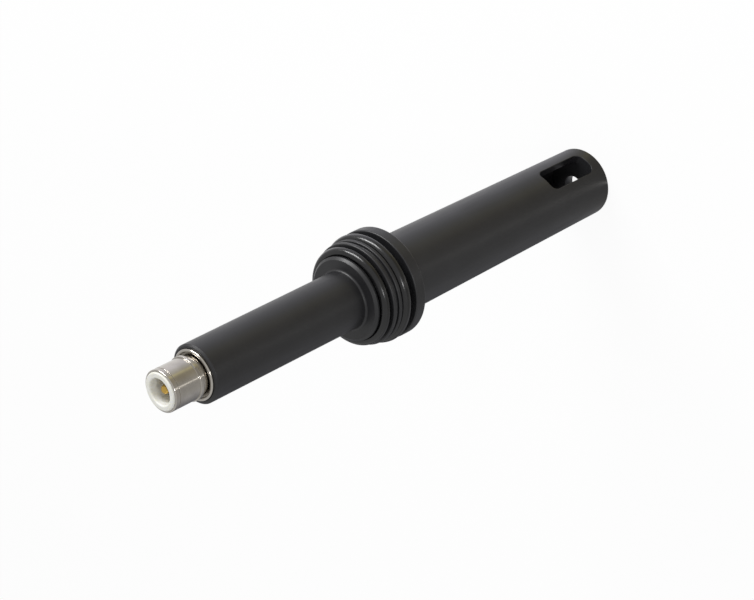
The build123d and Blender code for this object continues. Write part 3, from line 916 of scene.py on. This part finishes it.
class PROBE_OT_socket(bpy.types.Operator):
    """Makes the plated shell, the white insulator and the gold centre contact"""
    bl_idname = "probe.socket"
    bl_label = "Coaxial Socket"

    def execute(self, context):
        s = context.scene.probe_socket
        low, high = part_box("socket_shell")
        tail, rim = low.z / MM, high.z / MM
        bead_top = rim - s.barrel_length
        bead_low = bead_top - s.collar_height
        lip_top = bead_low - s.neck_height
        lip_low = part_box("socket_washer")[1].z / MM
        lip_inside = s.lip_radius - 2 * s.lip_round
        # Just under half the lip's width, so that its two roundings don't meet
        lip_curve = s.lip_round * 0.999
        groove = rim - s.rim_line
        notch_low = bead_top - s.notch_height
        # Two rows of points close together, which the notch's lower ledge lies between
        ledge = 0.005
        notch = KeyNotch(s.notch_angle, s.notch_width, notch_low, bead_top, s.notch_floor,
                         s.collar_radius)
        line_floor = s.barrel_radius - s.rim_line_depth
        corners = [
            (s.tail_bore, tail, 0.05),
            (s.tail_radius, tail, 0.1),
            (s.tail_radius, lip_low, 0.05),
            (s.lip_radius, lip_low, 0.05),
            (s.lip_radius, lip_top, lip_curve),
            (lip_inside, lip_top, lip_curve),
            (lip_inside, lip_top - s.lip_groove, 0.05),
            (s.neck_radius, lip_top - s.lip_groove, 0.05),
            (s.neck_radius, bead_low, 0.08),
            (s.collar_radius, bead_low, 0.13),
            (s.collar_radius, notch_low - ledge),
            (s.collar_radius, notch_low + ledge),
            (s.collar_radius, bead_top, 0.13),
            (s.barrel_radius, bead_top, 0.06),
            (s.barrel_radius, groove - s.rim_line_half, 0.03),
            (line_floor, groove - s.rim_line_half * 2 / 3, 0.03),
            (line_floor, groove + s.rim_line_half * 2 / 3, 0.03),
            (s.barrel_radius, groove + s.rim_line_half, 0.03),
            (s.barrel_radius, rim, 0.25),
            (s.shell_bore, rim, 0.06),
            (s.shell_bore, s.insulator_seat),
            (s.tail_bore, s.insulator_seat),
        ]
        shell = turned_piece("socket_shell_plated", corners, 160, "nickel_plated_brass",
                             notch=notch)
        settle(shell, "nickel_plate", "socket_shell")

        low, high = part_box("socket_insulator")
        rear, top = low.z / MM, high.z / MM
        pin_hole = s.pin_radius + s.insulator_gap
        corners = [
            (pin_hole, rear),
            (s.tail_bore - s.insulator_gap, rear, 0.1),
            (s.tail_bore - s.insulator_gap, s.insulator_seat),
            (s.shell_bore - s.insulator_gap, s.insulator_seat),
            (s.shell_bore - s.insulator_gap, top, 0.3),
            (s.hollow_radius, top, 0.3),
            (s.hollow_radius, top - s.hollow_depth, 0.2),
            (pin_hole, top - s.hollow_depth),
        ]
        sleeve = turned_piece("socket_insulator_sleeve", corners, 128, "turned_white_ptfe")
        settle(sleeve, "white_insulator", "socket_insulator")

        low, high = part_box("centre_pin")
        rear, tip = low.z / MM, high.z / MM
        corners = [
            (0.0, rear + s.cup_depth),
            (s.cup_radius, rear + s.cup_depth),
            (s.cup_radius, rear, 0.03),
            (s.pin_radius, rear, 0.08),
            (s.pin_radius, tip, s.pin_tip),
            (0.0, tip),
        ]
        pin = turned_piece("centre_contact_pin", corners, 64, "gold_plated_brass", closed=False)
        settle(pin, "gold_plate", "centre_pin")
        return {"FINISHED"}


class PROBE_OT_electrodes(bpy.types.Operator):
    """Makes the two ground electrodes with their solder cups"""
    bl_idname = "probe.electrodes"
    bl_label = "Electrodes"

    def execute(self, context):
        cup = context.scene.probe_socket
        for node in ("signal_electrode", "return_electrode"):
            low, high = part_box(node)
            middle = (low.x + high.x) / 2
            radius = (high.x - low.x) / 2 / MM
            bottom, top = low.z / MM, high.z / MM
            corners = [
                (0.0, bottom),
                (radius, bottom, ELECTRODE_TIP),
                (radius, top, 0.08),
                (cup.cup_radius, top, 0.03),
                (cup.cup_radius, top - cup.cup_depth),
                (0.0, top - cup.cup_depth),
            ]
            rod = turned_piece(node + "_rod", corners, 64, "ground_stainless_steel", closed=False)
            rod.data.transform(Matrix.Translation((middle, 0, 0)))
            settle(rod, "electrode_steel", node)
        return {"FINISHED"}


class PROBE_OT_inner_finishes(bpy.types.Operator):
    """Gives every piece that stays as built its finish"""
    bl_idname = "probe.inner_finishes"
    bl_label = "Inner Finishes"

    def execute(self, context):
        finishes = {
            "electrode_holder": "moulded_black_pbt",
            "socket_washer": "greased_black_epdm",
            "ground_lug": "tinned_brass",
            "sealing_compound": "cast_dark_epoxy",
            "signal_lead": "clear_pvc_lead",
            "return_lead": "black_pvc_lead",
            "signal_sleeve_lower": "black_shrink_sleeve",
            "return_sleeve_lower": "black_shrink_sleeve",
            "signal_sleeve_upper": "black_shrink_sleeve",
        }
        for node, name in finishes.items():
            piece = NODES[node]
            piece.data.materials.clear()
            piece.data.materials.append(finish(name))
        return {"FINISHED"}


# The stage

# Painted reflections: what a shiny surface sees in the floor round it, by the direction from
# the probe in degrees from +X. A painted bright window side, a dimmer room, and one painted shaded
# corner.
PAINTED_SURROUNDINGS = (
    (-180, "#acaba9"), (-141, "#a5a3a0"), (-120, "#a09c92"), (-100, "#978f7c"),
    (-86, "#9a927c"), (-74, "#cfc79c"), (-66, "#b9b4a6"), (-50, "#c8c7c6"), (-28, "#ebeaf2"),
    (-4, "#fbfaff"), (34, "#ffffff"), (56, "#f0f0f4"), (72, "#9a9aa0"), (95, "#5e5e64"),
    (122, "#8c8c90"), (150, "#adadb0"), (180, "#acaba9"),
)
# A glowing stripe painted in the floor and seen only in reflections, where it puts a painted
# highlight on shiny parts in place of a lamp: its direction and width in degrees, and its glow
PAINTED_LAMP_STRIPE = -138.5
PAINTED_LAMP_STRIPE_WIDTH = 7.0
PAINTED_LAMP_STRIPE_GLOW = 5.0

# Share of plain white in the floor where it is seen. The rest takes the shadow.
WHITE_SHARE = 0.93

# Lamps: sides in metres, places in millimetres
KEY_SIZE = (0.30, 0.10)
KEY_PLACE = (330, -245, 260)
SIDE_SIZE = (0.05, 0.05)
SIDE_PLACE = (-300, -265, 260)
LAMP_TARGET = (0, 0, 62)


def surroundings(tree):
    """The painted reflection colour in each direction round the probe, from object coordinates, and
    the glow of the painted lamp stripe.
    """
    spot = add_node(tree, "ShaderNodeTexCoord")
    parts = add_node(tree, "ShaderNodeSeparateXYZ", inputs={"Vector": (spot, "Object")})
    angle = add_node(tree, "ShaderNodeMath", {"operation": "ARCTAN2"}, {
        0: (parts, "Y"), 1: (parts, "X")})
    share = add_node(tree, "ShaderNodeMapRange", inputs={
        "Value": (angle, "Value"), "From Min": -math.pi, "From Max": math.pi})
    ramp = add_node(tree, "ShaderNodeValToRGB", inputs={"Fac": (share, "Result")})
    stops = ramp.color_ramp.elements
    places = [(degrees + 180) / 360 for degrees, _ in PAINTED_SURROUNDINGS]
    for position in places[1:-1]:
        stops.new(position)
    for stop, position, (_, hex_value) in zip(stops, places, PAINTED_SURROUNDINGS):
        stop.position = position
        stop.color = linear(hex_value)
    # The painted lamp stripe: the floor glows brighter within a narrow angle, for reflections only
    turned = add_node(tree, "ShaderNodeMath", {"operation": "SUBTRACT"}, {
        0: (angle, "Value"), 1: math.radians(PAINTED_LAMP_STRIPE)})
    off = add_node(tree, "ShaderNodeMath", {"operation": "ABSOLUTE"}, {0: (turned, "Value")})
    stripe = add_node(tree, "ShaderNodeMapRange", {"interpolation_type": "SMOOTHSTEP"}, {
        "Value": (off, "Value"), "From Max": math.radians(PAINTED_LAMP_STRIPE_WIDTH / 2),
        "To Min": PAINTED_LAMP_STRIPE_GLOW})
    return ramp, stripe


def white_floor_painted_reflections(name, shade):
    """A pale floor that the camera and glass see as plain white, and a shiny surface sees as
    painted reflections of a studio round it, with a glowing painted stripe in place of a lamp. It
    still takes a share of the object's shadow."""
    material = bpy.data.materials.new(name)
    material.use_nodes = True
    tree = material.node_tree
    tree.nodes.clear()
    rays = add_node(tree, "ShaderNodeLightPath")
    ramp, stripe = surroundings(tree)
    direct = add_node(tree, "ShaderNodeMath", {"operation": "MAXIMUM"}, {
        0: (rays, "Is Camera Ray"), 1: (rays, "Is Transmission Ray")})
    seen = add_node(tree, "ShaderNodeMath", {"operation": "MAXIMUM"}, {
        0: (direct, "Value"), 1: (rays, "Is Glossy Ray")})
    lit = add_node(tree, "ShaderNodeMath", {"operation": "MULTIPLY"}, {
        0: (seen, "Value"), 1: shade})
    tone = add_node(tree, "ShaderNodeMix", {"data_type": "RGBA"}, {
        0: (direct, "Value"), MIX_FIRST: (ramp, "Color"), MIX_SECOND: (1, 1, 1, 1)})
    power = add_node(tree, "ShaderNodeMix", {"data_type": "FLOAT"}, {
        0: (direct, "Value"), 2: (stripe, "Result"), 3: 1.0})
    glow = add_node(tree, "ShaderNodeEmission", inputs={
        "Color": (tone, MIX_RESULT), "Strength": (power, 0)})
    pale = add_node(tree, "ShaderNodeBsdfDiffuse", inputs={"Color": linear("#f4f4f4")})
    mix = add_node(tree, "ShaderNodeMixShader", inputs={
        "Fac": (lit, "Value"), 1: (pale, 0), 2: (glow, 0)})
    add_node(tree, "ShaderNodeOutputMaterial", inputs={"Surface": (mix, 0)})
    return material


def area_lamp(name, power, size, place_mm):
    """A white rectangular soft box aimed at the middle of the probe."""
    data = bpy.data.lights.new(name, "AREA")
    data.shape = "RECTANGLE"
    data.size, data.size_y = size
    data.energy = power
    lamp = new_object(name, data)
    lamp.location = Vector(place_mm) * MM
    aim = Vector(LAMP_TARGET) - Vector(place_mm)
    lamp.rotation_euler = aim.to_track_quat("-Z", "Y").to_euler()


def set_world(strength):
    """White surroundings, plain white to the camera and softer as light."""
    world = bpy.data.worlds.new("studio")
    bpy.context.scene.world = world
    world.use_nodes = True
    tree = world.node_tree
    tree.nodes.clear()
    rays = add_node(tree, "ShaderNodeLightPath")
    level = add_node(tree, "ShaderNodeMapRange", inputs={
        "Value": (rays, "Is Camera Ray"), "To Min": strength})
    sky = add_node(tree, "ShaderNodeBackground", inputs={
        "Color": (1, 1, 1, 1), "Strength": (level, "Result")})
    add_node(tree, "ShaderNodeOutputWorld", inputs={"Surface": (sky, 0)})


class PROBE_OT_stage(bpy.types.Operator):
    """Lays the pale floor, hangs the lamps and stands the camera at the photograph's angle"""
    bl_idname = "probe.stage"
    bl_label = "Stage"

    def execute(self, context):
        stage = context.scene.probe_stage
        half = stage.floor_size / 2
        mesh = bpy.data.meshes.new("studio_floor")
        corners = [(-half, -half, 0), (half, -half, 0), (half, half, 0), (-half, half, 0)]
        mesh.from_pydata(corners, [], [(0, 1, 2, 3)])
        mesh.materials.append(white_floor_painted_reflections("white_card_painted_reflections", WHITE_SHARE))
        floor = new_object("studio_floor", mesh)
        set_world(stage.sky)
        area_lamp("key_soft_box", stage.key_power, KEY_SIZE, KEY_PLACE)
        area_lamp("side_lamp", stage.side_power, SIDE_SIZE, SIDE_PLACE)
        data = bpy.data.cameras.new("photo_camera")
        data.sensor_width = SENSOR_WIDTH
        data.lens = SENSOR_WIDTH * PHOTO_FOCAL / PHOTO_WIDTH
        data.clip_start = 0.01
        camera = new_object("photo_camera", data)
        axes = Matrix((CAMERA_RIGHT, CAMERA_UP, CAMERA_BACK)).transposed()
        camera.matrix_world = Matrix.Translation(Vector(CAMERA_PLACE) * MM) @ axes.to_4x4()
        context.scene.camera = camera
        context.scene.view_settings.view_transform = "Standard"
        return {"FINISHED"}


class PROBE_PT_panel(bpy.types.Panel):
    """Lists the probe's operators and settings in the sidebar"""
    bl_idname = "PROBE_PT_panel"
    bl_label = "Conductivity Probe"
    bl_space_type = "VIEW_3D"
    bl_region_type = "UI"
    bl_category = "Probe"

    def draw(self, context):
        for operator in OPERATORS:
            self.layout.operator(operator.bl_idname)
        for name in GROUPS:
            box = self.layout.box()
            settings = getattr(context.scene, name)
            for item in settings.bl_rna.properties:
                if item.identifier not in ("rna_type", "name"):
                    box.prop(settings, item.identifier)


GROUPS = {
    "probe_tube": ProbeTubeSettings,
    "probe_stem": ProbeStemSettings,
    "probe_socket": ProbeSocketSettings,
    "probe_finish": ProbeFinishSettings,
    "probe_stage": ProbeStageSettings,
}
OPERATORS = (
    PROBE_OT_cell_tube,
    PROBE_OT_stem,
    PROBE_OT_sealing_rings,
    PROBE_OT_socket,
    PROBE_OT_electrodes,
    PROBE_OT_inner_finishes,
    PROBE_OT_stage,
)
CLASSES = (*GROUPS.values(), *OPERATORS, PROBE_PT_panel)


def register():
    for item in CLASSES:
        bpy.utils.register_class(item)
    for name, group in GROUPS.items():
        setattr(bpy.types.Scene, name, bpy.props.PointerProperty(type=group))


def unregister():
    for name in GROUPS:
        delattr(bpy.types.Scene, name)
    for item in reversed(CLASSES):
        bpy.utils.unregister_class(item)


def main():
    register()
    for operator in OPERATORS:
        getattr(bpy.ops.probe, operator.bl_idname.removeprefix("probe."))()


if __name__ == "__main__":
    main()
